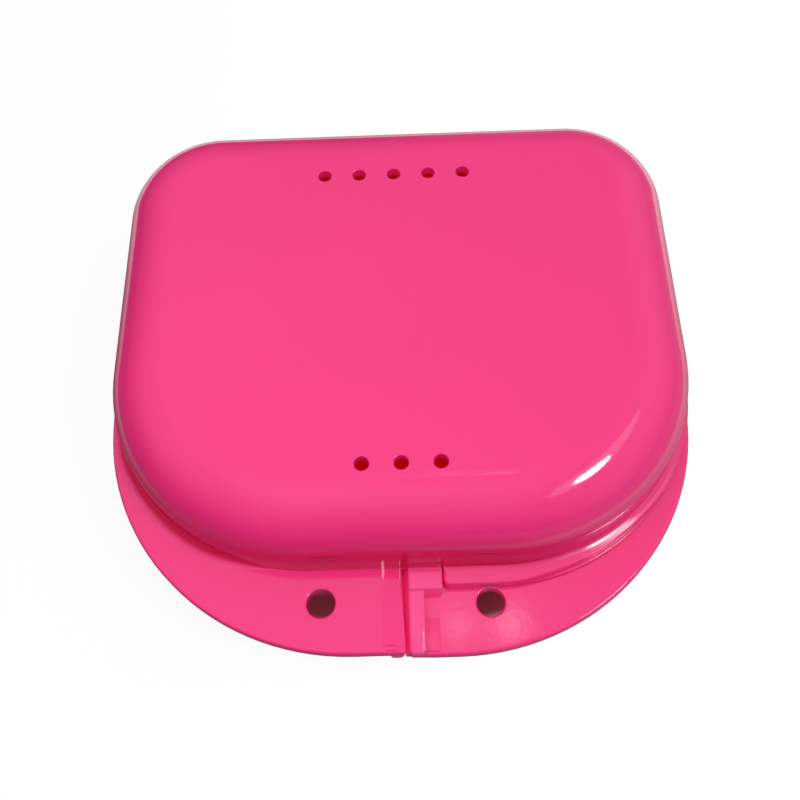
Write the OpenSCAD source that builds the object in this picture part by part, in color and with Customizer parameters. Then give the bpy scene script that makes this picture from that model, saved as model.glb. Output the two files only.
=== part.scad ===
// Retainer case in two halves that are the same moulding.
// The lid is that moulding with its dome up. The base is it turned over about the front-to-back axis.
// Frame: front is -Y, the hinge is at +Y, the case stands on z = 0 and X = 0 is the middle of its width.
// Each feature below is drawn on the lid, with the parting plane at z = 0, and then put in place.

/* [Shell] */
// Outer width of a shell at its mouth
shell_w = 80.2; // [76:0.2:86]
// Outer length of a shell at its mouth, front to back
shell_l = 67.6; // [64:0.2:74]
// Height of one half, from the parting plane to its flat face
half_h = 14; // [12:0.5:18]
// Wall thickness of a shell
wall = 1.6; // [1.2:0.1:2.2]
// Plan radius of the two front corners
front_r = 27.3; // [22:0.1:30]
// Plan radius of the two back corners
back_r = 14.2; // [12:0.1:18]
// Radius of the rounded edge between the wall and the flat face
edge_r = 9; // [7:0.5:10]

/* [Vents] */
// Diameter of a vent hole
vent_d = 1.85; // [1.2:0.05:2.6]
// Distance between vents in a row
vent_pitch = 5; // [4:0.1:6]
// Number of vents in the back row
vents_back = 5; // [1:1:7]
// Number of vents in the front row
vents_front = 3; // [1:1:5]
// Distance of the back row from the shell's back
vent_back_in = 12.2; // [10:0.1:15]
// Distance of the front row from the shell's front
vent_front_in = 10.2; // [10:0.1:15]

/* [Rim and thumb tab] */
// Thickness of the rim lip and of the thumb tab
rim_t = 2; // [1.6:0.1:2.6]
// How far the lip stands out from the shell at the sides and the back
lip_side = 0.9; // [0.6:0.1:1.5]
// How far the lip stands out from the shell at the front
lip_front = 2.35; // [1.8:0.05:3]
// How much larger the lip's front corner radius is than the shell's
lip_ease = 1.7; // [0:0.1:2.4]
// How far the thumb tab stands out from the shell at the front
tab_reach = 11; // [9:0.1:14]
// Plan radius of the thumb tab's corner
tab_r = 35; // [30:0.5:36]
// Diameter of the hole in a thumb tab
tab_hole_d = 3.7; // [2:0.1:4.5]
// Distance of that hole from the middle of the width
tab_hole_x = 11.1; // [8:0.1:15]
// Distance of that hole from the tab's front edge
tab_hole_in = 6.7; // [4:0.1:7.5]

/* [Seam and latch] */
// Gap between the two halves at the parting plane
seam_gap = 0.2; // [0.1:0.05:0.4]
// Distance of a tab's end from the middle of the width
seam_x = 0.3; // [0.1:0.05:0.5]
// Width of the ramp at the end of a tab
ramp_w = 2.7; // [1.5:0.1:4]
// Drop of that ramp
ramp_drop = 0.5; // [0.2:0.1:1]
// Width of the seam rib on a tab
rib_w = 2.1; // [1.2:0.1:2.6]
// Width of the shallow pad beside the rib
pad_w = 1.9; // [1:0.1:3]
// Length of that pad, back from the tab's front edge
pad_l = 3.9; // [2:0.1:5]
// Height of that pad
pad_h = 0.25; // [0.1:0.05:0.5]
// Width of a latch hook
hook_w = 4.5; // [3:0.1:6]
// Depth of a latch hook, front to back
hook_d = 2.7; // [2:0.1:3.5]
// How far a latch hook stands past the other half's rim
hook_over = 0.5; // [0.2:0.1:1]
// Radius of the snap bead along the hook
bead_r = 0.5; // [0.4:0.05:0.7]
// Distance of the bead from the outer face of the rim that it snaps past
bead_in = 0.3; // [0.1:0.05:0.6]
// Gap round the bead in its groove
bead_gap = 0.1; // [0.05:0.01:0.2]
// Gap between a hook and what surrounds it
hook_gap = 0.3; // [0.2:0.05:0.4]

/* [Hinge] */
// Distance of each hinge station from the middle of the width
hinge_x = 18; // [14:0.5:20]
// Diameter of a hinge pin
pin_d = 2.5; // [2:0.1:3]
// Clear length of a pin between its ears
pin_l = 8; // [6:0.5:10]
// Wall of the clip round the pin
clip_wall = 1.2; // [0.9:0.1:1.4]
// Mouth of the clip, in degrees
clip_mouth = 100; // [80:5:120]
// Thickness of an ear
ear_t = 1.6; // [1.2:0.1:2]
// Radius of an ear beyond its pin
ear_wall = 0.95; // [0.7:0.05:1.1]
// Radial clearance between pin and clip
pin_gap = 0.05; // [0.02:0.01:0.1]
// Clearance at each side of a clip, and round the clip to the rims
hinge_gap = 0.4; // [0.3:0.05:0.8]

/* [Hidden] */
$fn = 96;
pink = "#F2468A";
far = 200;
cut = 1;
front = -shell_l / 2;
back = shell_l / 2;
low = seam_gap / 2;
lip_half = shell_w / 2 + lip_side;
lip_r = front_r + lip_ease;
tab_front = front - tab_reach;
tab_back = tab_front + tab_r;
clip_r = pin_d / 2 + pin_gap + clip_wall;
clip_w = pin_l - 2 * hinge_gap;
ear_r = pin_d / 2 + ear_wall;
hinge_y = back + lip_side + clip_r + hinge_gap;
hook_y = front - hook_gap;
bead_z = rim_t - bead_in;
notch_end = seam_x + hook_w + hook_gap;

// Edge profile, from the plan's inside out to reach: an upright wall that turns into the flat top by an arc
module edge_profile(reach, bottom, top, arc) {
    inner = [reach - arc, top - arc];
    polygon([[0, bottom], [reach, bottom], [reach, inner[1]], inner, [inner[0], top], [0, top]]);
    translate(inner) intersection() {
        circle(r = arc);
        square(2 * arc);
    }
}

// Right half of the dome: the edge profile carried along three straight runs and round two corners
module half_dome(half_w, y0, y1, r0, r1, bottom, top, arc) {
    translate([0, y1 - r1, 0]) rotate([90, 0, 0])
        linear_extrude(y1 - r1 - y0 - r0) edge_profile(half_w, bottom, top, arc);
    translate([half_w - r0, y0 + r0, 0]) rotate([90, 0, -90])
        linear_extrude(half_w - r0) edge_profile(r0, bottom, top, arc);
    translate([0, y1 - r1, 0]) rotate([90, 0, 90])
        linear_extrude(half_w - r1) edge_profile(r1, bottom, top, arc);
    translate([half_w - r0, y0 + r0, 0]) rotate([0, 0, -90])
        rotate_extrude(angle = 90) edge_profile(r0, bottom, top, arc);
    translate([half_w - r1, y1 - r1, 0])
        rotate_extrude(angle = 90) edge_profile(r1, bottom, top, arc);
}

// Solid dome, set in from the outside by a thickness
module dome(inset, bottom) {
    for (side = [0, 1]) mirror([side, 0, 0])
        half_dome(shell_w / 2 - inset, front + inset, back - inset, front_r - inset, back_r - inset,
            bottom, half_h - inset, edge_r - inset);
}

// Plan outline with two front and two back corner radii: the straight runs' ends, and a disc in each corner
module plan(half_w, y0, y1, r0, r1) {
    half = [[half_w - r0, y0], [half_w, y0 + r0], [half_w, y1 - r1], [half_w - r1, y1]];
    polygon(concat(half, [for (i = [3 : -1 : 0]) [-half[i][0], half[i][1]]]));
    for (side = [-1, 1]) {
        translate([side * (half_w - r0), y0 + r0]) circle(r = r0);
        translate([side * (half_w - r1), y1 - r1]) circle(r = r1);
    }
}

module shell_plan() {
    plan(shell_w / 2, front, back, front_r, back_r);
}

module vent_row(count, y) {
    for (i = [0 : count - 1])
        translate([(i - (count - 1) / 2) * vent_pitch, y, half_h / 2]) cylinder(d = vent_d, h = half_h);
}

// Bead along a hook, or the groove for it when swelled by a gap
module bead(x0, length, z, gap) {
    translate([x0 - gap, hook_y, z]) rotate([0, 90, 0]) cylinder(r = bead_r + gap, h = length + 2 * gap);
}

module half_shell() {
    difference() {
        dome(0, low);
        dome(wall, -cut);
        vent_row(vents_back, back - vent_back_in);
        vent_row(vents_front, front + vent_front_in);
        bead(seam_x, hook_w, bead_z, bead_gap);
    }
}

// Plate between the parting plane's gap and the rim's outer face
module rim_plate() {
    translate([0, 0, low]) linear_extrude(rim_t - low) children();
}

// Lip round the mouth, left out where the thumb tab is and where the other half's hook passes
module half_rim() {
    rim_plate() difference() {
        plan(lip_half, front - lip_front, back + lip_side, lip_r, back_r + lip_side);
        shell_plan();
        translate([-far - seam_x, tab_back - far]) square(far);
        translate([-seam_x - cut, front - far]) square([notch_end + seam_x + cut, far]);
    }
}

// Outline of the thumb tab: a round corner and a straight run up to the seam
module tab_plan() {
    translate([tab_r - lip_half, tab_back]) intersection() {
        circle(r = tab_r);
        translate([-far, -far]) square(far);
    }
    translate([tab_r - lip_half, tab_front]) square([lip_half - tab_r - seam_x, tab_r]);
}

module half_thumb_tab() {
    rib_x = -seam_x - rib_w;
    difference() {
        rim_plate() difference() {
            tab_plan();
            shell_plan();
            translate([-tab_hole_x, tab_front + tab_hole_in]) circle(d = tab_hole_d);
        }
        translate([-seam_x - ramp_w, front + cut, rim_t]) rotate([90, 0, 0])
            linear_extrude(tab_reach + 2 * cut)
            polygon([[0, 0], [2 * ramp_w, -2 * ramp_drop], [2 * ramp_w, cut], [0, cut]]);
    }
    translate([rib_x, tab_front, low - rim_t]) cube([rib_w, hook_y - hook_d - tab_front, rim_t]);
    translate([rib_x - pad_w, tab_front, low - pad_h]) cube([pad_w, pad_l, pad_h]);
}

// Block that rises past the other half's rim, with a bead that snaps into that half's wall
module half_latch_hook() {
    translate([-seam_x - hook_w, hook_y - hook_d, -rim_t - hook_over])
        cube([hook_w, hook_d, rim_t + hook_over + low]);
    bead(-seam_x - hook_w, hook_w, -bead_z, 0);
}

// Neck from the rim's back edge to the hinge axis
module hinge_neck(x0, width) {
    translate([x0, back + lip_side, low]) cube([width, hinge_y - back - lip_side, rim_t - low]);
}

module half_hinge_pin() {
    for (x = [hinge_x - pin_l / 2 - ear_t, hinge_x + pin_l / 2]) {
        hinge_neck(x, ear_t);
        translate([x, hinge_y, 0]) rotate([0, 90, 0]) cylinder(r = ear_r, h = ear_t);
    }
    translate([hinge_x - pin_l / 2, hinge_y, 0]) rotate([0, 90, 0]) cylinder(d = pin_d, h = pin_l);
}

module half_hinge_clip() {
    x0 = -hinge_x - clip_w / 2;
    side = 2 * clip_r;
    difference() {
        union() {
            hinge_neck(x0, clip_w);
            translate([x0, hinge_y, 0]) rotate([0, 90, 0]) cylinder(r = clip_r, h = clip_w);
        }
        translate([x0 - cut, hinge_y, 0]) rotate([0, 90, 0])
            cylinder(r = pin_d / 2 + pin_gap, h = clip_w + 2 * cut);
        translate([x0 - cut, hinge_y, 0]) rotate([90, 0, 90]) linear_extrude(clip_w + 2 * cut)
            polygon([[0, 0], [side, -side * tan(clip_mouth / 2)], [side, side * tan(clip_mouth / 2)]]);
    }
}

module on_lid() {
    color(pink) translate([0, 0, half_h]) children();
}

module on_base() {
    color(pink) translate([0, 0, half_h]) rotate([0, 180, 0]) children();
}

module lid_shell() { on_lid() half_shell(); }
module lid_rim() { on_lid() half_rim(); }
module lid_thumb_tab() { on_lid() half_thumb_tab(); }
module lid_latch_hook() { on_lid() half_latch_hook(); }
module lid_hinge_pin() { on_lid() half_hinge_pin(); }
module lid_hinge_clip() { on_lid() half_hinge_clip(); }

module base_shell() { on_base() half_shell(); }
module base_rim() { on_base() half_rim(); }
module base_thumb_tab() { on_base() half_thumb_tab(); }
module base_latch_hook() { on_base() half_latch_hook(); }
module base_hinge_pin() { on_base() half_hinge_pin(); }
module base_hinge_clip() { on_base() half_hinge_clip(); }

base_shell();
base_rim();
base_thumb_tab();
base_latch_hook();
base_hinge_pin();
base_hinge_clip();
lid_shell();
lid_rim();
lid_thumb_tab();
lid_latch_hook();
lid_hinge_pin();
lid_hinge_clip();
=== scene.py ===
import math

import bmesh
import bpy
from mathutils import Matrix, Vector
from mathutils.geometry import delaunay_2d_cdt


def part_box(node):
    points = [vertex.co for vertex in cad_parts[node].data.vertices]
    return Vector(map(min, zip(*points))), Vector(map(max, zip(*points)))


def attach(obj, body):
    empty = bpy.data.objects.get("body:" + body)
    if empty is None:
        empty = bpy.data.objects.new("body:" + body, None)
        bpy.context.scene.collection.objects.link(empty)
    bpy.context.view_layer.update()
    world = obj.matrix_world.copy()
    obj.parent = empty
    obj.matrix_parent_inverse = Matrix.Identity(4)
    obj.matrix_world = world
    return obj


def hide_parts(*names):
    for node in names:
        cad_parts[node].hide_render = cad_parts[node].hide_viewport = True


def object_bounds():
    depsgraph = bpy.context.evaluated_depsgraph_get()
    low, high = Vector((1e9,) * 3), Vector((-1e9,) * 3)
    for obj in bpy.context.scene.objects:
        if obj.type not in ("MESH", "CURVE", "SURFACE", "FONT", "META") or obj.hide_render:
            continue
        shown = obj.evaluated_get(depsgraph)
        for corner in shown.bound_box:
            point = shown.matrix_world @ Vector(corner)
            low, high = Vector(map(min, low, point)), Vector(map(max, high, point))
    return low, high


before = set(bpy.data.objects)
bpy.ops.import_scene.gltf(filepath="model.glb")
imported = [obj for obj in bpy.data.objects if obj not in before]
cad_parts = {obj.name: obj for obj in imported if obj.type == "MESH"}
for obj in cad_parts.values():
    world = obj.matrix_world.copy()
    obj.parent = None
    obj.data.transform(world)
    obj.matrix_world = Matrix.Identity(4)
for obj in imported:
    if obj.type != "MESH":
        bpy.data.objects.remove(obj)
cad_low, cad_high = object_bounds()

MM = 0.001


def box_mm(node):
    """Lowest and highest corner of a node of the frame, in millimetres."""
    low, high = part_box(node)
    return low / MM, high / MM


# Sizes that the frame gives, in millimetres. Heights are above the parting plane, on the lid.
SHELL_LOW, SHELL_HIGH = box_mm("lid_shell")
RIM_LOW, RIM_HIGH = box_mm("lid_rim")
TAB_LOW, TAB_HIGH = box_mm("lid_thumb_tab")
HOOK_LOW, HOOK_HIGH = box_mm("lid_latch_hook")
PARTING = (SHELL_LOW.z + box_mm("base_shell")[1].z) / 2
GAP = SHELL_LOW.z - PARTING
HEIGHT = SHELL_HIGH.z - PARTING
RIM_T = RIM_HIGH.z - PARTING
HALF_W, FRONT, BACK = SHELL_HIGH.x, SHELL_LOW.y, SHELL_HIGH.y
LIP_HALF, LIP_FRONT, LIP_BACK = RIM_HIGH.x, RIM_LOW.y, RIM_HIGH.y
TAB_FRONT, SEAM_X = TAB_LOW.y, -TAB_HIGH.x
RIB_LOW = TAB_LOW.z - PARTING

# Sizes that a box can't give, as in the part's source
WALL = 1.6
FRONT_R, BACK_R, EDGE_R = 27.3, 14.2, 9.0
LIP_FRONT_R, LIP_BACK_R = 29.0, 15.1
VENT_R, VENT_PITCH, VENT_BACK_IN, VENT_FRONT_IN = 0.925, 5.0, 12.2, 10.2
VENT_ROWS = ((5, BACK - VENT_BACK_IN), (3, FRONT + VENT_FRONT_IN))
TAB_HOLE_R, TAB_HOLE_X, TAB_HOLE_IN = 1.85, 11.1, 6.7
RAMP_W, RIB_W = 2.7, 2.1
PAD_W, PAD_L, PAD_H = 1.9, 3.9, 0.25
HOOK_GAP, BEAD_R, BEAD_GAP, BEAD_IN = 0.3, 0.5, 0.1, 0.3
BEAD_Z = RIM_T - BEAD_IN
GROOVE_R = BEAD_R + BEAD_GAP

# End of the hook's notch in the lip, a little closer to the hook than in the part's source, and the tab's
# corner, a little fuller
NOTCH_END, TAB_R = 4.95, 34.2
# Groove in the front wall for the other half's bead: its two ends, and how long its end faces are
GROOVE_X0, GROOVE_X1, GROOVE_END = SEAM_X - 0.1, NOTCH_END - 0.2, 0.04

# The small rounded step at the ramp's upper edge: place across it, fall and slope. The ramp goes on from it.
CREASE_STEPS = ((-0.3, 0, 0), (-0.1, 0.03, 0.3), (0.1, 0.11, 0.4), (0.3, 0.16, 0.15))
CREASE = [step[0] - SEAM_X - RAMP_W for step in CREASE_STEPS]

# Small roundings of the moulded edges
MOUTH_ROUND, VENT_ROUND, HOLE_ROUND = 0.15, 0.22, 0.3
RIM_ROUND, MATING_ROUND, TAB_ROUND = 0.35, 0.18, 0.5
LIP_END_R, SEAM_END_R, SEAM_TAPER, BEAD_END = 0.9, 0.6, 0.15, 0.3
# Width and height of the rounded edges of rib, hook, pad and webs
RIB_ROUND, HOOK_ROUND, PAD_ROUND = (0.7, 0.3), (0.5, 0.3), (0.4, 0.15)
WEB_ROUND, NOTCH_WEB_ROUND = (0.1, 0.1), (0.05, 0.05)

# Foot of the wall on the lip: how far out, how high above the lip, and the lean of its face in degrees
FOOT = ((1.15, 0.0, 84), (1.05, 0.03, 76), (0.95, 0.06, 70), (0.82, 0.10, 76), (0.70, 0.14, 71),
        (0.55, 0.19, 65), (0.42, 0.24, 70), (0.30, 0.29, 64), (0.15, 0.37, 55), (0.05, 0.47, 30),
        (0.0, 0.65, 0))
# Its share at the side, what it gains to the front, and the steps in which it starts beside the notch
FOOT_SHARE, FOOT_GAIN, FOOT_FADE = 0.5, 0.9, (0, 0.2, 0.4, 0.6)
# Hollow rounding between the wall and the tab: radius, share as above, and where it starts as the wall turns
COVE_R, COVE_SHARE, COVE_GAIN, COVE_FADE = 2.2, 0.15, 2.2, (0.1, 0.6)

# Low lens-shaped mark at the ramp's front end: its middle, its half sizes and where it is cut, in degrees
MARK, MARK_SIZE, MARK_CUT = Vector((-2.3, TAB_FRONT + 0.75, 1.8)), Vector((1.1, 0.4, 0.2)), 80
# How deep the plate of lip and tab, and the feet of blocks, go into what carries them
FLANGE_IN, ROOT = 0.8, 0.6
# Length in which the rib falls to its front end and share that it falls; the same for the pad to the back
RIB_FADE, RIB_FALL, PAD_FADE, PAD_FALL = 3.2, 0.4, 1.6, 1.1
# Webs in the seam and in the notch: their outer faces, how far they stand back, and the gap beside them
WEB_LOW, NOTCH_WEB_LOW, WEB_IN, NOTCH_WEB_IN, WEB_GAP = -0.4, -1.0, 0.3, 0.6, 0.05
# Ledge under the lip's edge: height above the mating face, share of the draft, lean in degrees
LEDGE_STEPS = ((0.30, 0.0, 0), (0.36, 0.04, 25), (0.41, 0.14, 55), (0.44, 0.32, 80), (0.46, 0.50, 82),
               (0.52, 0.64, 50), (0.65, 0.74, 18), (0.95, 0.86, 9))
# Draft above the ledge, between which degrees round the corner it comes and goes, and its start at the notch
LIP_DRAFT, DRAFT_IN, DRAFT_OUT, DRAFT_CLEAR = 0.42, (0, 18), (40, 56), 1

# Fineness of the meshes: longest steps on an outline, then steps in roundings and points round circles
ARC_STEP, RUN_STEP = math.radians(3), 2.0
BLOCK_ARC_STEP, BLOCK_RUN_STEP = math.radians(10), 1.0
DOME_STEPS, INSIDE_STEPS, PLATE_STEPS, EDGE_STEPS, MOUTH_STEPS = 32, 24, 6, 5, 3
BLOCK_STEPS, MARK_STEPS, GROOVE_STEPS = 10, 16, 6
VENT_POINTS, HOLE_POINTS, BEAD_POINTS, MARK_POINTS = 40, 64, 24, 32
# Lengths that count as none, for corners of a face and for places, and the least height of a band of faces
SAME, NEAR, LEAST_BAND = 1e-4, 1e-6, 0.02

# Plastic: the two colours between which it is mottled, its gloss, and the waves of mottle and ripples
TONES = ((0.82, 0.0185, 0.184), (0.86, 0.0205, 0.196))
ROUGHNESS, IOR, SPECULAR = 0.07, 1.5, 0.65
MOTTLE_SCALE, MOTTLE_DETAIL = 40, 3
RIPPLE_SCALE, RIPPLE_DETAIL, RIPPLE_STRENGTH, RIPPLE_DEPTH = 900, 2, 0.5, 0.012
RIB_ROUGHNESS, SEAM_SPECULAR = 0.25, 0.05
# Painted shade, deeper and redder, at the foot of the front wall: how much of each colour is left, and from
# where to where it comes in, along x, along y and by height above the parting plane. Towards the lip it fades
# out, at these heights above it.
DEEP_PAINTED_SHADE, DEEP_SHADE_FROM, DEEP_SHADE_TO = (0.76, 0.22, 0.34), (29, -5, 11.5), (13, -21, 5)
DEEP_SHADE_RISE = (0.1, 0.7)
# Painted glow, as emission: red where light would come through the thin walls to the inside and through the
# plates to the seam, and a paler one that makes the rib and the hook lighter
INSIDE_PAINTED_GLOW, SEAM_PAINTED_GLOW, RIB_PAINTED_GLOW = (0.09, 0, 0.002), (0.16, 0, 0.008), (0.045, 0.024, 0.05)
# Rounding of the hinges' edges, and the least angle that is rounded
HINGE_ROUND, HINGE_ANGLE = 0.15, 40

# Floor: its half size in metres, its tone at the left and at the right, with painted shade to the left,
# between which places, counted in half widths of the case, the painted shadow under the case, and how white
# the floor looks
FLOOR_HALF, FLOOR_TONE_AND_SHADE, FLOOR_SPAN = 3, (0.12, 0.40), (-1, 2)
FLOOR_PAINTED_SHADOW, FLOOR_GLOW, FLOOR_ROUGHNESS, FLOOR_SPECULAR = (0.5, 0.08, 0.13), 0.88, 0.8, 0.1
# That painted shadow has round corners and ends beside the case's outline, for the eye and in the gloss
SHADE_R, FLOOR_SHADE, GLOSS_SHADE = 33, (-8.5, -4.5), (12, 60)
# The gloss shows the white floor only round the case, in a pool that is wider towards the back, in metres
POOL_MIDDLE, POOL_HALF, POOL_TAPER, POOL_R, POOL_FADE = (0, 0.014), (0.074, 0.082), 0.19, 0.02, 0.02
# The gloss shows less of it in front: which way, from and to which distance in metres, and how much less
FRONT_WAY, FRONT_DIM, FRONT_LOSS = 236, (0.045, 0.08), 0.9

# Soft studio light: its strength at the horizon and what it gains with height, between two sines
SKY_LOW, SKY_GAIN, SKY_FROM, SKY_TO = 0.15, 0.295, -0.08, 0.72
# Softboxes: azimuth from the right and elevation in degrees, sharpness and strength
SOFTBOXES = ((187, 37, 16, 0.25), (-35, 12, 12, 0.31), (20, 33, 4, 0.49), (255, 70, 11, 0.50),
             (137, 59, 7.5, 0.39), (82, 75, 220, 0.30), (79, 77.5, 9000, 1.8), (66, 76.6, 9000, 3.4))
# Round lamps that look at one spot: azimuth, elevation, distance in metres, width and height in degrees,
# radiance, and whether the gloss shows them
LAMP_SPOT = Vector((0.02, -0.02, 0.024))
LAMPS = (("lamp", -27, 52, 0.8, 17, 8.5, 19, True), ("lamp_glow", -22, 54, 0.8, 46, 13, 1.0, True),
         ("fill", 200, 64, 0.13, 30, 30, 3.4, False))

# Camera: its turns in radians, its place from the front row of vents in millimetres, lens and clipping
CAMERA_RISE, CAMERA_ROLL, CAMERA_YAW = 1.1214113, 0.0551572, -0.0250248
CAMERA_SPOT = Vector((0.2751, -44.5418, 124.166))
CAMERA_SENSOR, CAMERA_LENS, CAMERA_CLIP = 36, 42.75, (0.01, 10)


# Mesh helpers

def side_of(direction):
    """The normal on the right of a direction, outside an outline that runs anticlockwise."""
    return Vector((direction.y, -direction.x))


def rounded_path(corners, arc_step=ARC_STEP, run_step=RUN_STEP):
    """Points and outward normals along a closed outline. Each corner is (x, y, radius)."""
    path = []
    for i, (x, y, radius) in enumerate(corners):
        here = Vector((x, y))
        heading = (here - Vector(corners[i - 1][:2])).normalized()
        leaving = (Vector(corners[(i + 1) % len(corners)][:2]) - here).normalized()
        turn = math.atan2(heading.cross(leaving), heading.dot(leaving))
        normal = side_of(heading)
        if radius == 0 or abs(turn) < NEAR:
            path.append((here, normal))
            continue
        sign = math.copysign(1, turn)
        centre = here - heading * radius * math.tan(abs(turn) / 2) - normal * radius * sign
        steps = max(3, math.ceil(abs(turn) / arc_step))
        for k in range(steps + 1):
            spoke = Matrix.Rotation(turn * k / steps, 2) @ normal
            path.append((centre + spoke * radius * sign, spoke))
    return with_runs(path, run_step)


def with_runs(path, run_step):
    """The path with more points on its straight runs."""
    dense = []
    for i, (point, normal) in enumerate(path):
        dense.append((point, normal))
        run = path[(i + 1) % len(path)][0] - point
        pieces = math.ceil(run.length / run_step)
        if side_of(run.normalized()).dot(normal) > 0.99999:
            dense.extend((point + run * k / pieces, normal) for k in range(1, pieces))
    return dense


def circle_path(x, y, radius, count):
    """Points round a hole, and normals that point away from its middle."""
    spokes = [Vector((math.cos(a), math.sin(a))) for a in (math.tau * k / count for k in range(count))]
    return [(Vector((x, y)) + spoke * radius, spoke) for spoke in spokes]


def arc_steps(start, end, count):
    """Angles in radians from start to end, which are in degrees."""
    return [math.radians(start + (end - start) * k / count) for k in range(count + 1)]


def smooth(low, high, value):
    """0 below low, 1 above high, and an even curve between them."""
    t = min(1.0, max(0.0, (value - low) / (high - low)))
    return t * t * (3 - 2 * t)


def each(value, count):
    """The value as a list, repeated if it is a single number."""
    return value if isinstance(value, list) else [value] * count


def turn_outward(mesh):
    """Winds the faces of the closed surfaces so that they all look out."""
    shape = bmesh.new()
    shape.from_mesh(mesh)
    bmesh.ops.recalc_face_normals(shape, faces=shape.faces)
    shape.to_mesh(mesh)
    shape.free()


class Skin:
    """A closed surface on the lid, in millimetres, with a true normal at each vertex. The painted faces take
    a second material."""

    def __init__(self):
        self.points, self.normals, self.faces = [], [], []
        self.painted = range(0)

    def ring(self, path, inset, z, tilt, facing=1):
        """The path moved in by inset, at height z. Its normals lean up by tilt from the path's own, or from
        the opposite where facing is -1. Inset, z and tilt are numbers, or lists with one for each point."""
        first, count = len(self.points), len(path)
        for (point, normal), i, h, t in zip(path, each(inset, count), each(z, count), each(tilt, count)):
            flat = point - normal * i
            lean = normal * math.cos(t) * facing
            self.points.append(Vector((flat.x, flat.y, h)))
            self.normals.append(Vector((lean.x, lean.y, math.sin(t))))
        return list(range(first, len(self.points)))

    def bands(self, rings):
        """Faces between each ring and the next."""
        for lower, upper in zip(rings, rings[1:]):
            for i in range(len(lower)):
                j = (i + 1) % len(lower)
                self.face(lower[i], lower[j], upper[j], upper[i])

    def face(self, *corners):
        """A face of the corners that don't lie on the one before, if three or more are left."""
        before = corners[-1:] + corners[:-1]
        kept = [i for i, j in zip(corners, before) if (self.points[i] - self.points[j]).length > SAME]
        if len(kept) > 2:
            self.faces.append(tuple(kept))

    def fill(self, outer, holes=(), creases=()):
        """Faces inside the outer ring, without the round holes, with edges along the creases."""
        loops = (outer, *holes)
        index = [i for loop in loops for i in loop]
        place = {v: k for k, v in enumerate(index)}
        pairs = [pair for loop in loops for pair in zip(loop, loop[1:] + loop[:1])] + list(creases)
        flat = [self.points[i].xy for i in index]
        found = delaunay_2d_cdt(flat, [(place[a], place[b]) for a, b in pairs], [], 1, 1e-7)
        source = [index[origin[0]] for origin in found[3]]
        rounds = [self.round_of(hole) for hole in holes]
        for face in found[2]:
            corners = [source[k] for k in face]
            middle = self.middle(corners)
            if all((middle - centre).length > radius for centre, radius in rounds):
                self.face(*corners)

    def middle(self, indices):
        """The middle of some points, seen from above."""
        return sum((self.points[i].xy for i in indices), Vector((0, 0))) / len(indices)

    def round_of(self, hole):
        """The middle of the hole, and a distance from it that parts faces in the hole from those around."""
        centre = self.middle(hole)
        return centre, (self.points[hole[0]].xy - centre).length * math.cos(1.2 * math.pi / len(hole))

    def add(self, other):
        """Takes in another surface."""
        shift = len(self.points)
        self.points += other.points
        self.normals += other.normals
        self.faces += [tuple(i + shift for i in face) for face in other.faces]
        return self

    def piece(self, name, body):
        """A mesh object of this surface on the lid, or turned over for the base."""
        turn = Vector((1, 1, 1)) if body == "lid" else Vector((-1, 1, -1))
        lift = Vector((0, 0, PARTING))
        mesh = bpy.data.meshes.new(name)
        mesh.from_pydata([(p * turn + lift) * MM for p in self.points], [], self.faces)
        turn_outward(mesh)
        mesh.polygons.foreach_set("use_smooth", [True] * len(mesh.polygons))
        mesh.normals_split_custom_set_from_vertices([n * turn for n in self.normals])
        mesh.update()
        piece = bpy.data.objects.new(name, mesh)
        bpy.context.scene.collection.objects.link(piece)
        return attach(piece, body)


def bored(skin, x, y, radius, low, high, edge, count):
    """A round hole between two flat faces, opening at rounded edges. Returns its rings in the two faces."""
    path = circle_path(x, y, radius, count)
    lower = [skin.ring(path, edge * (math.cos(t) - 1), low + edge * (1 + math.sin(t)), t, -1)
             for t in arc_steps(-90, 0, EDGE_STEPS)]
    upper = [skin.ring(path, edge * (math.cos(t) - 1), high - edge * (1 - math.sin(t)), t, -1)
             for t in arc_steps(0, 90, EDGE_STEPS)]
    skin.bands(lower + upper)
    return lower[0], upper[-1]


def block_skin(low, high, wide, tall):
    """A box with rounded corners and edges. The edges' rounding is so wide and so tall."""
    skin = Skin()
    corners = [(x, y, wide) for x, y in ((high.x, low.y), (high.x, high.y), (low.x, high.y), (low.x, low.y))]
    path = rounded_path(corners, BLOCK_ARC_STEP, BLOCK_RUN_STEP)
    rings = []
    for start, end, z in ((-90, 0, low.z + tall), (0, 90, high.z - tall)):
        for t in arc_steps(start, end, BLOCK_STEPS):
            lean = math.atan2(math.sin(t) * wide, math.cos(t) * tall)
            rings.append(skin.ring(path, wide * (1 - math.cos(t)), z + tall * math.sin(t), lean))
    skin.bands(rings)
    skin.fill(rings[0])
    skin.fill(rings[-1])
    return skin


# Bowl, drawn on the lid with the parting plane at z = 0, like all sub-parts

def vent_places():
    return [((i - (count - 1) / 2) * VENT_PITCH, y) for count, y in VENT_ROWS for i in range(count)]


def shell_corners():
    """Outline of the bowl, with points where the groove and the foot of the wall begin and end."""
    along_front = (-SEAM_X, GROOVE_X0, GROOVE_X0 + GROOVE_END, GROOVE_X1 - GROOVE_END, GROOVE_X1,
                   *(NOTCH_END + fade for fade in FOOT_FADE))
    along_back = (NOTCH_END + fade for fade in reversed(FOOT_FADE))
    return [(HALF_W, FRONT, FRONT_R), (HALF_W, BACK, BACK_R), *((x, BACK, 0) for x in along_back),
            (-HALF_W, BACK, BACK_R), (-HALF_W, FRONT, FRONT_R), *((x, FRONT, 0) for x in along_front)]


def foot_share(point, normal):
    """How wide the foot of the wall is: less at the side and the back, where the lip is narrow, and none
    beside the tab and at the notch through which the other half's hook passes."""
    share = min(1.0, FOOT_SHARE - FOOT_GAIN * min(0.0, normal.y))
    return share * smooth(NOTCH_END, NOTCH_END + FOOT_FADE[-1], point.x)


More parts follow.
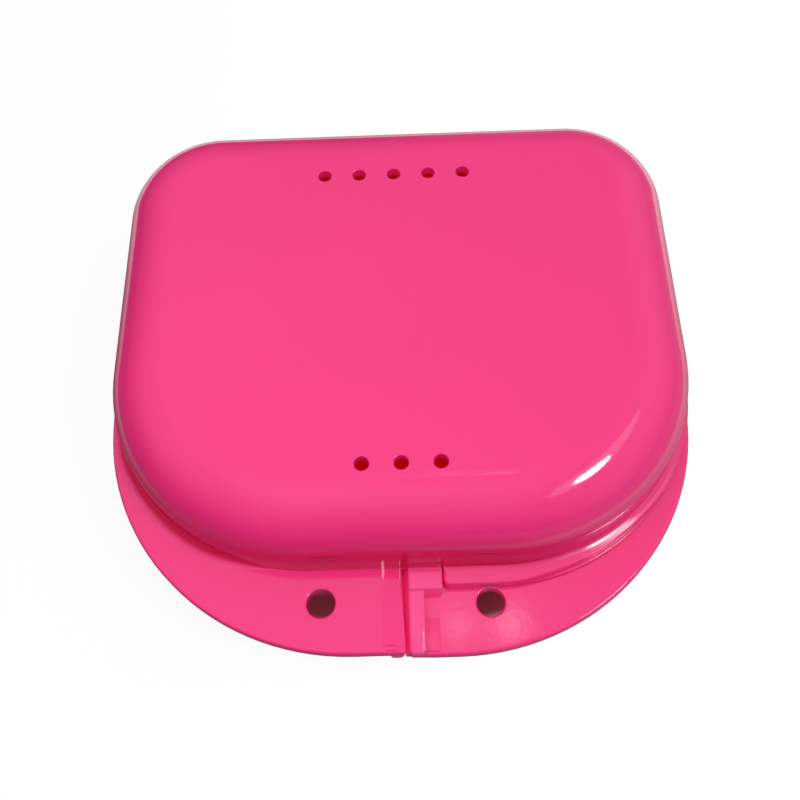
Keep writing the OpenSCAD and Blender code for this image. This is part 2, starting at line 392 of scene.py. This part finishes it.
def cove_share(normal):
    """How large the hollow rounding beside the tab is: none at the front, and within the lip at the side."""
    return smooth(*COVE_FADE, -normal.x) * min(1.0, COVE_SHARE - COVE_GAIN * min(0.0, normal.y))


def cove_steps():
    """The hollow rounding in the terms of the foot, in as many steps."""
    return [(COVE_R * (1 - math.sin(t)), COVE_R * (1 - math.cos(t)), 90 - math.degrees(t))
            for t in arc_steps(0, 90, len(FOOT) - 1)]


def groove_depth(point, z):
    """How deep the groove for the other half's bead is in the front wall."""
    if not (GROOVE_X0 + NEAR < point.x < GROOVE_X1 - NEAR and point.y < FRONT + NEAR):
        return 0.0
    across = GROOVE_R ** 2 - (z - BEAD_Z) ** 2
    return max(0.0, math.sqrt(max(0.0, across)) - HOOK_GAP)


def groove_rings(skin, path):
    """Rings of the wall below the lip, with the groove."""
    reach = math.sqrt(GROOVE_R ** 2 - HOOK_GAP ** 2)
    heights = [BEAD_Z + reach * (2 * k / GROOVE_STEPS - 1) for k in range(GROOVE_STEPS + 1)]
    return [skin.ring(path, [groove_depth(point, z) for point, _ in path], z, 0)
            for z in heights if z < RIM_T - LEAST_BAND]


def foot_rings(skin, path):
    """Rings of the wall's foot on the lip and of the hollow rounding beside the tab."""
    flares = [foot_share(point, normal) for point, normal in path]
    coves = [cove_share(normal) for _, normal in path]
    rings = []
    for foot, cove in zip(FOOT, cove_steps()):
        height = [RIM_T + foot[1] + c * (cove[1] - foot[1]) for c in coves]
        inset = [groove_depth(point, z) - f * foot[0] - c * cove[0]
                 for (point, _), z, f, c in zip(path, height, flares, coves)]
        lean = [math.radians(foot[2] * (f > 0) + cove[2] * (c > 0)) for f, c in zip(flares, coves)]
        rings.append(skin.ring(path, inset, height, lean))
    return rings


def shell_skin():
    """Bowl with rounded edges and vents. Its inside takes the lining, with its painted red glow."""
    skin = Skin()
    path = rounded_path(shell_corners())
    outer = [skin.ring(path, MOUTH_ROUND * (1 - math.cos(t)), GAP + MOUTH_ROUND * (1 + math.sin(t)), t)
             for t in arc_steps(-90, 0, MOUTH_STEPS)]
    outer += groove_rings(skin, path) + foot_rings(skin, path)
    outer += [skin.ring(path, EDGE_R * (1 - math.cos(t)), HEIGHT - EDGE_R * (1 - math.sin(t)), t)
              for t in arc_steps(0, 90, DOME_STEPS)]
    inner = [skin.ring(path, WALL - MOUTH_ROUND * (1 - math.cos(t)), GAP + MOUTH_ROUND * (1 + math.sin(t)),
                       t, -1) for t in arc_steps(-90, 0, MOUTH_STEPS)]
    inner_r = EDGE_R - WALL
    inner += [skin.ring(path, WALL + inner_r * (1 - math.cos(t)), HEIGHT - EDGE_R + inner_r * math.sin(t),
                        -t, -1) for t in arc_steps(0, 90, INSIDE_STEPS)]
    skin.bands([inner[0]] + outer)
    vents = [bored(skin, x, y, VENT_R, HEIGHT - WALL, HEIGHT, VENT_ROUND, VENT_POINTS)
             for x, y in vent_places()]
    skin.fill(outer[-1], [upper for _, upper in vents])
    first = len(skin.faces)
    skin.bands(inner)
    skin.fill(inner[-1], [lower for lower, _ in vents])
    skin.painted = range(first, len(skin.faces))
    return skin


# Lip and thumb tab

def flange_corners():
    """Outline of lip and thumb tab: outside from the notch round to the seam, then back inside the wall."""
    w, f, b = HALF_W - FLANGE_IN, FRONT + FLANGE_IN, BACK - FLANGE_IN
    rf, rb = FRONT_R - FLANGE_IN, BACK_R - FLANGE_IN
    return [
        (NOTCH_END, LIP_FRONT, LIP_END_R), (LIP_HALF, LIP_FRONT, LIP_FRONT_R),
        (LIP_HALF, LIP_BACK, LIP_BACK_R),
        (-LIP_HALF, LIP_BACK, LIP_BACK_R), (-LIP_HALF, TAB_FRONT, TAB_R),
        *((x, TAB_FRONT, 0) for x in CREASE), (-SEAM_X + SEAM_TAPER, TAB_FRONT, SEAM_END_R),
        (-SEAM_X - SEAM_TAPER, f, SEAM_END_R), *((x, f, 0) for x in reversed(CREASE)),
        (-w, f, rf), (-w, b, rb), (w, b, rb), (w, f, rf), (NOTCH_END, f, SEAM_END_R)]


def lip_turn(point):
    """Degrees round the right front corner, from 0 at the front to 90 at the side."""
    return math.degrees(math.atan2(point.x - HALF_W + FRONT_R, FRONT + FRONT_R - point.y))


def lip_draft(point):
    """How far the upper part of the lip's face stands back from its lower edge, round the corner."""
    turn = lip_turn(point)
    on_lip = point.x > NOTCH_END + DRAFT_CLEAR and point.y < FRONT + FRONT_R and abs(turn) < 90
    outside = (point - Vector((HALF_W - FRONT_R, FRONT + FRONT_R))).length > FRONT_R or turn < 0
    if not (on_lip and outside):
        return 0.0
    return LIP_DRAFT * smooth(*DRAFT_IN, turn) * (1 - smooth(*DRAFT_OUT, turn))


def before_wall(point):
    """Whether a point is on the tab, up to its edge in the wall."""
    return point.y < FRONT + 2 * FLANGE_IN


def ramp_at(point):
    """How far the ramp at the tab's end has fallen at a point, and how steep it is there."""
    if not (CREASE[0] - NEAR < point.x < 0 and before_wall(point)):
        return 0.0, 0.0
    reached = sum(point.x > x - NEAR for x in CREASE) - 1
    _, fall, slope = CREASE_STEPS[reached]
    return fall + slope * (point.x - CREASE[reached]), slope


def flange_rings(skin, path):
    """Rings of the plate's edge: lower rounding, ledge under the lip's edge and upper rounding."""
    draft = [lip_draft(point) for point, _ in path]
    fall = [ramp_at(point)[0] for point, _ in path]
    on_tab = [point.x < -SEAM_X + NEAR and point.y < TAB_FRONT + TAB_R for point, _ in path]
    under = [TAB_ROUND if tab else MATING_ROUND for tab in on_tab]
    over = [TAB_ROUND if tab else RIM_ROUND for tab in on_tab]
    rings = []
    for t in arc_steps(-90, 0, EDGE_STEPS):
        inset = [r * (1 - math.cos(t)) for r in under]
        rings.append(skin.ring(path, inset, [GAP + r * (1 + math.sin(t)) for r in under], t))
    for z, share, tilt in LEDGE_STEPS:
        height = [min(GAP + max(z, low), RIM_T - high - f) for low, high, f in zip(under, over, fall)]
        lean = [math.radians(tilt) * d / LIP_DRAFT for d in draft]
        rings.append(skin.ring(path, [d * share for d in draft], height, lean))
    for t in arc_steps(0, 90, PLATE_STEPS):
        inset = [d + r * (1 - math.cos(t)) for d, r in zip(draft, over)]
        height = [RIM_T - r * (1 - math.sin(t)) - f for r, f in zip(over, fall)]
        rings.append(skin.ring(path, inset, height, t))
    return rings


def flange_skin():
    """Lip and thumb tab in one plate, with the ramp at the tab's end and the tab's hole."""
    skin = Skin()
    path = rounded_path(flange_corners())
    rings = flange_rings(skin, path)
    skin.bands(rings)
    top = list(zip(rings[-1], (point for point, _ in path)))
    for i, point in top:
        skin.normals[i] = Vector((ramp_at(point)[1], 0, 1)).normalized()
    lower, upper = bored(skin, -TAB_HOLE_X, TAB_FRONT + TAB_HOLE_IN, TAB_HOLE_R, GAP, RIM_T, HOLE_ROUND,
                         HOLE_POINTS)
    creases = [tuple(i for i, point in top if abs(point.x - x) < NEAR and before_wall(point)) for x in CREASE]
    skin.fill(rings[0], [lower])
    skin.fill(rings[-1], [upper], creases)
    return skin


# Latch hook, seam rib, webs and mark

def bead_skin():
    """Round bar along the back of the hook, with rounded ends."""
    skin = Skin()
    path = circle_path(0, 0, BEAD_R, BEAD_POINTS)
    half = (HOOK_HIGH.x - HOOK_LOW.x) / 2
    rings = [skin.ring(path, BEAD_END * (1 - math.cos(t)), -half + BEAD_END * (1 + math.sin(t)), t)
             for t in arc_steps(-90, 0, EDGE_STEPS)]
    rings += [skin.ring(path, BEAD_END * (1 - math.cos(t)), half - BEAD_END * (1 - math.sin(t)), t)
              for t in arc_steps(0, 90, EDGE_STEPS)]
    skin.bands(rings)
    skin.fill(rings[0])
    skin.fill(rings[-1])
    middle = Vector(((HOOK_HIGH.x + HOOK_LOW.x) / 2, FRONT - HOOK_GAP, -BEAD_Z))
    lay = Matrix.Rotation(math.pi / 2, 3, "Y")
    skin.points = [lay @ p + middle for p in skin.points]
    skin.normals = [lay @ n for n in skin.normals]
    return skin


def hook_skin():
    low = Vector((HOOK_LOW.x, HOOK_LOW.y, HOOK_LOW.z - PARTING))
    high = Vector((HOOK_HIGH.x, FRONT - HOOK_GAP, GAP + ROOT))
    return block_skin(low, high, *HOOK_ROUND).add(bead_skin())


def sink(skin, share):
    """Lets the outer face of a block sink into the tab, by a share of its height that depends on y."""
    beside = 0.05
    for point, normal in zip(skin.points, skin.normals):
        if point.z < GAP:
            gain = (share(point.y + beside) - share(point.y - beside)) / (2 * beside)
            slope = (GAP - point.z) * gain
            point.z = GAP - (GAP - point.z) * (1 - share(point.y))
            if normal.z < 0:
                normal.y -= slope * normal.z
                normal.normalize()


def rib_skin():
    """Rib along the seam, whose faces take the rib's painted glow, which falls towards its front end, and
    beside it the shallow pad, which sinks into the tab towards the back."""
    rib_x = -SEAM_X - RIB_W
    rib_high = Vector((-SEAM_X, HOOK_LOW.y + ROOT, GAP + ROOT))
    rib = block_skin(Vector((rib_x, TAB_FRONT, RIB_LOW)), rib_high, *RIB_ROUND)
    sink(rib, lambda y: RIB_FALL * smooth(RIB_FADE, 0, y - TAB_FRONT))
    rib.painted = range(len(rib.faces))
    pad_low = Vector((rib_x - PAD_W, TAB_FRONT + TAB_ROUND, GAP - PAD_H))
    pad_high = Vector((rib_x + ROOT, TAB_FRONT + PAD_L + PAD_FADE, GAP + ROOT))
    pad = block_skin(pad_low, pad_high, *PAD_ROUND)
    sink(pad, lambda y: PAD_FALL * smooth(PAD_L - PAD_FADE, PAD_L + PAD_FADE, y - TAB_FRONT))
    return rib.add(pad)


def web_skin():
    """Thin webs that close the seam and the notch beside the hook from below."""
    low = Vector((-SEAM_X - ROOT, TAB_FRONT + WEB_IN, WEB_LOW))
    high = Vector((SEAM_X - WEB_GAP, FRONT + ROOT, RIM_T))
    notch_low = Vector((WEB_GAP - NOTCH_END, LIP_FRONT + NOTCH_WEB_IN, NOTCH_WEB_LOW))
    notch_high = Vector((HOOK_LOW.x + ROOT, FRONT - HOOK_GAP, GAP + ROOT))
    return block_skin(low, high, *WEB_ROUND).add(block_skin(notch_low, notch_high, *NOTCH_WEB_ROUND))


def mark_skin():
    """Low lens left by the mould on the ramp."""
    skin = Skin()
    path = circle_path(0, 0, 1, MARK_POINTS)
    rings = [skin.ring(path, 1 - math.cos(t), math.sin(t), t)
             for t in arc_steps(-MARK_CUT, MARK_CUT, MARK_STEPS)]
    skin.bands(rings)
    skin.fill(rings[0])
    skin.fill(rings[-1])
    skin.points = [p * MARK_SIZE + MARK for p in skin.points]
    skin.normals = [Vector(a / b for a, b in zip(n, MARK_SIZE)).normalized() for n in skin.normals]
    return skin


# Node helpers

def give(tree, value, slot):
    """Sets a node's input to a plain value, or links it to another node's output."""
    if isinstance(value, bpy.types.NodeSocket):
        tree.links.new(value, slot)
    else:
        slot.default_value = value


def math_node(tree, operation, *values):
    """A Math node. Each value is a number or another node's output."""
    node = tree.nodes.new("ShaderNodeMath")
    node.operation = operation
    for slot, value in zip(node.inputs, values):
        give(tree, value, slot)
    return node.outputs[0]


def soft_step(tree, value, start, end):
    """0 before start, 1 past end, and an even curve between them."""
    step = tree.nodes.new("ShaderNodeMapRange")
    step.interpolation_type = "SMOOTHSTEP"
    step.inputs["From Min"].default_value = start
    step.inputs["From Max"].default_value = end
    tree.links.new(value, step.inputs["Value"])
    return step.outputs["Result"]


def split(tree, value):
    """The three coordinates of another node's output."""
    node = tree.nodes.new("ShaderNodeSeparateXYZ")
    tree.links.new(value, node.inputs[0])
    return [node.outputs[axis] for axis in "XYZ"]


def along(tree, value, direction):
    """How far another node's output reaches in a direction."""
    node = tree.nodes.new("ShaderNodeVectorMath")
    node.operation = "DOT_PRODUCT"
    node.inputs[1].default_value = direction
    tree.links.new(value, node.inputs[0])
    return node.outputs["Value"]


def mixed(tree, share, first, second, blend="MIX"):
    """A colour from two others. Each is a plain colour or another node's output."""
    node = tree.nodes.new("ShaderNodeMix")
    node.data_type, node.blend_type = "RGBA", blend
    tree.links.new(share, node.inputs["Factor"])
    slots = [socket for socket in node.inputs if socket.type == "RGBA"]
    for slot, value in zip(slots, (first, second)):
        give(tree, value, slot)
    return next(socket for socket in node.outputs if socket.type == "RGBA")


def noise(tree, place, scale, detail):
    node = tree.nodes.new("ShaderNodeTexNoise")
    node.inputs["Scale"].default_value = scale
    node.inputs["Detail"].default_value = detail
    tree.links.new(place, node.inputs["Vector"])
    return node.outputs["Fac"]


def start_material(name):
    """A new material, with its nodes and its shader."""
    material = bpy.data.materials.new(name)
    material.use_nodes = True
    return material, material.node_tree, material.node_tree.nodes["Principled BSDF"]


def towards(azimuth, elevation):
    """Unit vector towards a place in the sky, in degrees from the right and above the floor."""
    turn, rise = math.radians(azimuth), math.radians(elevation)
    return Vector((math.cos(turn) * math.cos(rise), math.sin(turn) * math.cos(rise), math.sin(rise)))


# Plastic

def mottled(tree, place):
    """The plastic's colour, with a faint flow mottle."""
    ramp = tree.nodes.new("ShaderNodeValToRGB")
    for stop, tone in zip(ramp.color_ramp.elements, TONES):
        stop.color = (*tone, 1)
    tree.links.new(noise(tree, place, MOTTLE_SCALE, MOTTLE_DETAIL), ramp.inputs["Fac"])
    return ramp.outputs["Color"]


def rippled(tree, place):
    """Normals with fine ripples."""
    bump = tree.nodes.new("ShaderNodeBump")
    bump.inputs["Strength"].default_value = RIPPLE_STRENGTH
    bump.inputs["Distance"].default_value = RIPPLE_DEPTH * MM
    tree.links.new(noise(tree, place, RIPPLE_SCALE, RIPPLE_DETAIL), bump.inputs["Height"])
    return bump.outputs["Normal"]


def painted_shade_share(tree, place):
    """Where the painted shade falls: one at the foot of the front wall, none on the top, at the sides and on
    the lip.
    """
    x, y, z = split(tree, place)
    height = math_node(tree, "ABSOLUTE", math_node(tree, "SUBTRACT", z, PARTING * MM))
    share = soft_step(tree, height, *((RIM_T + rise) * MM for rise in DEEP_SHADE_RISE))
    for value, start, end in zip((x, y, height), DEEP_SHADE_FROM, DEEP_SHADE_TO):
        share = math_node(tree, "MULTIPLY", share, soft_step(tree, value, start * MM, end * MM))
    return share


def pink_plastic(name, glow=(0, 0, 0), tint=None, roughness=ROUGHNESS, specular=SPECULAR):
    """Glossy moulded plastic, with a painted glow for the light that comes through it. The tint is painted
    shade on the wall.
    """
    material, tree, shader = start_material(name)
    shader.inputs["Roughness"].default_value = roughness
    shader.inputs["IOR"].default_value = IOR
    shader.inputs["Specular IOR Level"].default_value = specular
    shader.inputs["Emission Color"].default_value = (*glow, 1)
    shader.inputs["Emission Strength"].default_value = 1
    place = tree.nodes.new("ShaderNodeTexCoord").outputs["Object"]
    colour = mottled(tree, place)
    # The tint multiplies painted shade into the colour at the foot of the front wall.
    if tint:
        colour = mixed(tree, painted_shade_share(tree, place), colour, (*tint, 1), "MULTIPLY")
    tree.links.new(colour, shader.inputs["Base Color"])
    tree.links.new(rippled(tree, place), shader.inputs["Normal"])
    return material


PLASTIC = pink_plastic("pink_plastic")
# The bowl's tint is painted shade, deeper and redder at the foot of the front wall.
BOWL_WITH_PAINTED_SHADE = pink_plastic("pink_plastic_bowl_painted_shade", tint=DEEP_PAINTED_SHADE)
# The lining's glow is painted red light inside the bowl.
LINING_WITH_PAINTED_GLOW = pink_plastic("pink_plastic_inside_painted_glow", INSIDE_PAINTED_GLOW)
# The seam's glow is painted red light in the seam.
SEAM = pink_plastic("pink_plastic_seam_painted_glow", SEAM_PAINTED_GLOW, specular=SEAM_SPECULAR)
# The rib's glow is painted light that makes the rib and the hook paler.
RIB = pink_plastic("pink_plastic_rib_painted_glow", RIB_PAINTED_GLOW, roughness=RIB_ROUGHNESS)


# Floor

def outside_of(tree, place, middle, half, radius, start, end, taper=0):
    """0 in a rounded shape on the floor and 1 outside it, with a soft step from start to end. Its sides lean
    out towards the back by the taper."""
    x, y, _ = split(tree, place)
    x = math_node(tree, "ABSOLUTE", math_node(tree, "SUBTRACT", x, middle[0]))
    y = math_node(tree, "SUBTRACT", y, middle[1])
    x = math_node(tree, "ABSOLUTE", math_node(tree, "MULTIPLY_ADD", y, -taper, x))
    past = [math_node(tree, "MAXIMUM", math_node(tree, "SUBTRACT", a, edge - radius), 0)
            for a, edge in zip((x, math_node(tree, "ABSOLUTE", y)), half)]
    squares = [math_node(tree, "POWER", a, 2) for a in past]
    away = math_node(tree, "SQRT", math_node(tree, "ADD", *squares))
    return soft_step(tree, away, radius + start, radius + end)


def floor_colour_and_painted_shade(tree, place, lit, half):
    """The floor's grey, paler to the right and with painted shade to the left, and the painted shadow under
    the case.
    """
    side = soft_step(tree, split(tree, place)[0], *(half.x * span for span in FLOOR_SPAN))
    # The grey is painted darker to the left, where the floor is in shade.
    grey = math_node(tree, "MULTIPLY_ADD", side, FLOOR_TONE_AND_SHADE[1] - FLOOR_TONE_AND_SHADE[0], FLOOR_TONE_AND_SHADE[0])
    return mixed(tree, lit, (*FLOOR_PAINTED_SHADOW, 1), grey)


def floor_white(tree, place, lit, clear):
    """How white the floor looks: to the camera outside the painted shadow, and in the gloss only in the pool.
    """
    past_pool = outside_of(tree, place, POOL_MIDDLE, POOL_HALF, POOL_R, 0, POOL_FADE, POOL_TAPER)
    ahead = soft_step(tree, along(tree, place, towards(FRONT_WAY, 0)), *FRONT_DIM)
    clear = math_node(tree, "MULTIPLY", clear, math_node(tree, "MULTIPLY_ADD", ahead, -FRONT_LOSS, 1))
    clear = math_node(tree, "MULTIPLY", clear, math_node(tree, "SUBTRACT", 1, past_pool))
    rays = tree.nodes.new("ShaderNodeLightPath").outputs
    mirrored = math_node(tree, "MAXIMUM", rays["Is Glossy Ray"], rays["Is Transmission Ray"])
    seen = math_node(tree, "MAXIMUM", math_node(tree, "MULTIPLY", rays["Is Camera Ray"], lit),
                     math_node(tree, "MULTIPLY", mirrored, clear))
    return math_node(tree, "MULTIPLY", seen, FLOOR_GLOW)


def floor_material():
    """Pale floor, white to the camera, with a painted dark shadow under the case."""
    material, tree, shader = start_material("white_floor")
    shader.inputs["Roughness"].default_value = FLOOR_ROUGHNESS
    shader.inputs["Specular IOR Level"].default_value = FLOOR_SPECULAR
    shader.inputs["Emission Color"].default_value = (1, 1, 1, 1)
    place = tree.nodes.new("ShaderNodeNewGeometry").outputs["Position"]
    middle, half = ((cad_low + cad_high) / 2).xy, ((cad_high - cad_low) / 2).xy
    lit, clear = (outside_of(tree, place, middle, half, SHADE_R * MM, *(edge * MM for edge in shade))
                  for shade in (FLOOR_SHADE, GLOSS_SHADE))
    tree.links.new(floor_colour_and_painted_shade(tree, place, lit, half), shader.inputs["Base Color"])
    tree.links.new(floor_white(tree, place, lit, clear), shader.inputs["Emission Strength"])
    return material


# Building

def dress(piece, body, *nodes):
    """Gives a piece its plastic. It hides the nodes, if any are named."""
    piece.data.materials.clear()
    piece.data.materials.append(PLASTIC)
    if nodes:
        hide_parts(*nodes)
    return piece


def paint(piece, material, skin):
    """Gives the skin's painted faces a second material."""
    piece.data.materials.append(material)
    second = [int(i in skin.painted) for i in range(len(skin.faces))]
    piece.data.polygons.foreach_set("material_index", second)


def soften(node):
    """Rounds the edges of a node of the frame that stays as it is."""
    bevel = node.modifiers.new("edges", "BEVEL")
    bevel.width, bevel.segments, bevel.limit_method = HINGE_ROUND * MM, 3, "ANGLE"
    bevel.angle_limit = math.radians(HINGE_ANGLE)
    bevel.harden_normals = True


def build_half(body):
    shell = shell_skin()
    bowl = dress(shell.piece(body + "_bowl", body), body, body + "_shell")
    # The bowl takes the material with the painted shade.
    bowl.data.materials[0] = BOWL_WITH_PAINTED_SHADE
    # Its inside faces take the lining's painted red glow.
    paint(bowl, LINING_WITH_PAINTED_GLOW, shell)
    dress(flange_skin().piece(body + "_flange", body), body, body + "_rim", body + "_thumb_tab")
    ribs = rib_skin().add(mark_skin())
    # The rib's faces take its painted glow.
    paint(dress(ribs.piece(body + "_seam_rib", body), body), RIB, ribs)
    hook = dress(hook_skin().piece(body + "_hook", body), body, body + "_latch_hook")
    # The hook takes the rib's painted glow.
    hook.data.materials[0] = RIB
    for part in ("_hinge_pin", "_hinge_clip"):
        soften(dress(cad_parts[body + part], body))


# Camera, light and stage

def place_camera():
    """Camera at the photograph's viewing angle."""
    turn = Matrix.Rotation(-CAMERA_YAW, 3, "Z")
    forward = turn @ Vector((0, math.cos(CAMERA_RISE), -math.sin(CAMERA_RISE)))
    right = turn @ Vector((1, 0, 0))
    over = turn @ Vector((0, math.sin(CAMERA_RISE), math.cos(CAMERA_RISE)))
    x_axis = math.cos(CAMERA_ROLL) * right - math.sin(CAMERA_ROLL) * over
    y_axis = math.sin(CAMERA_ROLL) * right + math.cos(CAMERA_ROLL) * over
    matrix = Matrix((x_axis, y_axis, -forward)).transposed().to_4x4()
    matrix.translation = (turn @ CAMERA_SPOT + Vector((0, FRONT + VENT_FRONT_IN, PARTING))) * MM
    data = bpy.data.cameras.new("camera")
    data.sensor_width, data.lens = CAMERA_SENSOR, CAMERA_LENS
    data.clip_start, data.clip_end = CAMERA_CLIP
    camera = bpy.data.objects.new("camera", data)
    camera.matrix_world = matrix
    bpy.context.scene.collection.objects.link(camera)
    bpy.context.scene.camera = camera


def area_light(name, azimuth, elevation, far, width, height, radiance, shown):
    """A round lamp at a distance, with its width and height in degrees."""
    data = bpy.data.lights.new(name, "AREA")
    data.shape = "ELLIPSE"
    data.size, data.size_y = (2 * far * math.tan(math.radians(a / 2)) for a in (width, height))
    data.energy = radiance * math.pi * data.size * data.size_y * math.pi / 4
    lamp = bpy.data.objects.new(name, data)
    way = towards(azimuth, elevation)
    lamp.location = LAMP_SPOT + way * far
    lamp.rotation_euler = (-way).to_track_quat("-Z", "Y").to_euler()
    lamp.visible_glossy = shown
    bpy.context.scene.collection.objects.link(lamp)


def make_stage():
    mesh = bpy.data.meshes.new("floor")
    corners = [(x * FLOOR_HALF, y * FLOOR_HALF, 0) for x, y in ((-1, -1), (1, -1), (1, 1), (-1, 1))]
    mesh.from_pydata(corners, [], [(0, 1, 2, 3)])
    floor = bpy.data.objects.new("floor", mesh)
    mesh.materials.append(floor_material())
    bpy.context.scene.collection.objects.link(floor)


def make_world():
    """Even studio light, brighter above, with a few softboxes without edges that the gloss could show."""
    world = bpy.data.worlds.new("studio")
    world.use_nodes = True
    tree = world.node_tree
    back = tree.nodes["Background"]
    back.inputs["Color"].default_value = (1, 1, 1, 1)
    way = tree.nodes.new("ShaderNodeTexCoord").outputs["Generated"]
    rise = soft_step(tree, split(tree, way)[2], SKY_FROM, SKY_TO)
    total = math_node(tree, "MULTIPLY_ADD", rise, SKY_GAIN, SKY_LOW)
    for azimuth, elevation, sharpness, strength in SOFTBOXES:
        near = along(tree, way, towards(azimuth, elevation))
        fall = math_node(tree, "MULTIPLY_ADD", near, sharpness, -sharpness)
        total = math_node(tree, "MULTIPLY_ADD", math_node(tree, "EXPONENT", fall), strength, total)
    tree.links.new(total, back.inputs["Strength"])
    bpy.context.scene.world = world


for half_body in ("base", "lid"):
    build_half(half_body)
# The webs take the seam's painted red glow.
dress(web_skin().piece("base_seam_web", "base"), "base").data.materials[0] = SEAM
place_camera()
make_stage()
make_world()
for lamp_row in LAMPS:
    area_light(*lamp_row)
bpy.context.scene.view_settings.view_transform = "Standard"
